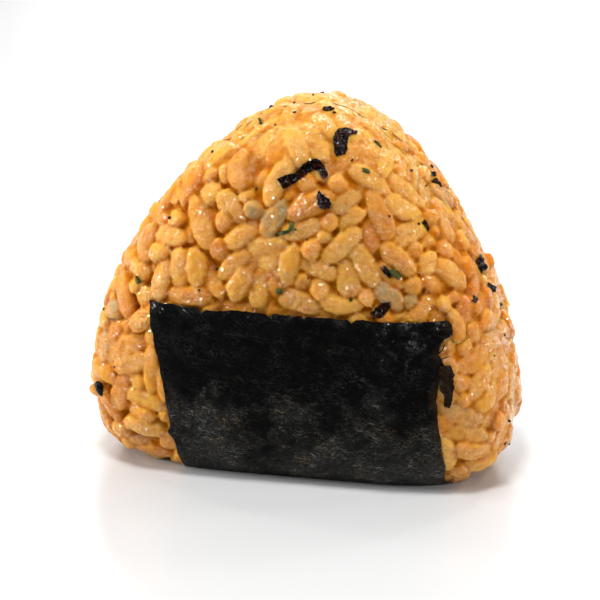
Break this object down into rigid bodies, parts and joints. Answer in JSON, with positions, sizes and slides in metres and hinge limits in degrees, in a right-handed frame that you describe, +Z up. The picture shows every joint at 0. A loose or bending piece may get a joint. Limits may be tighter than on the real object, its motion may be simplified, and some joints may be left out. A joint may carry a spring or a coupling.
{
  "type": "onigiri rice ball",
  "caption": "Triangular rice ball of seasoned short-grain rice with seaweed flakes, standing on a broad strip of nori wrapped under its foot.",
  "frame": {"origin": "middle of the flat face of nori that the rice ball stands on", "axes": "+X to the right across the broad front, +Z up to the blunt peak; the front faces -Y"},
  "size_m": [0.0731, 0.0372, 0.0632],
  "materials": {
    "rice": null,
    "nori": null,
    "seaweed_flakes": "moist black flakes of seaweed",
    "sesame": "black sesame seed, slightly glossy",
    "greens": "soft flecks of green leaf"
  },
  "bodies": {
    "root": {"rice": "rice", "nori": "nori"}
  },
  "joints": []
}
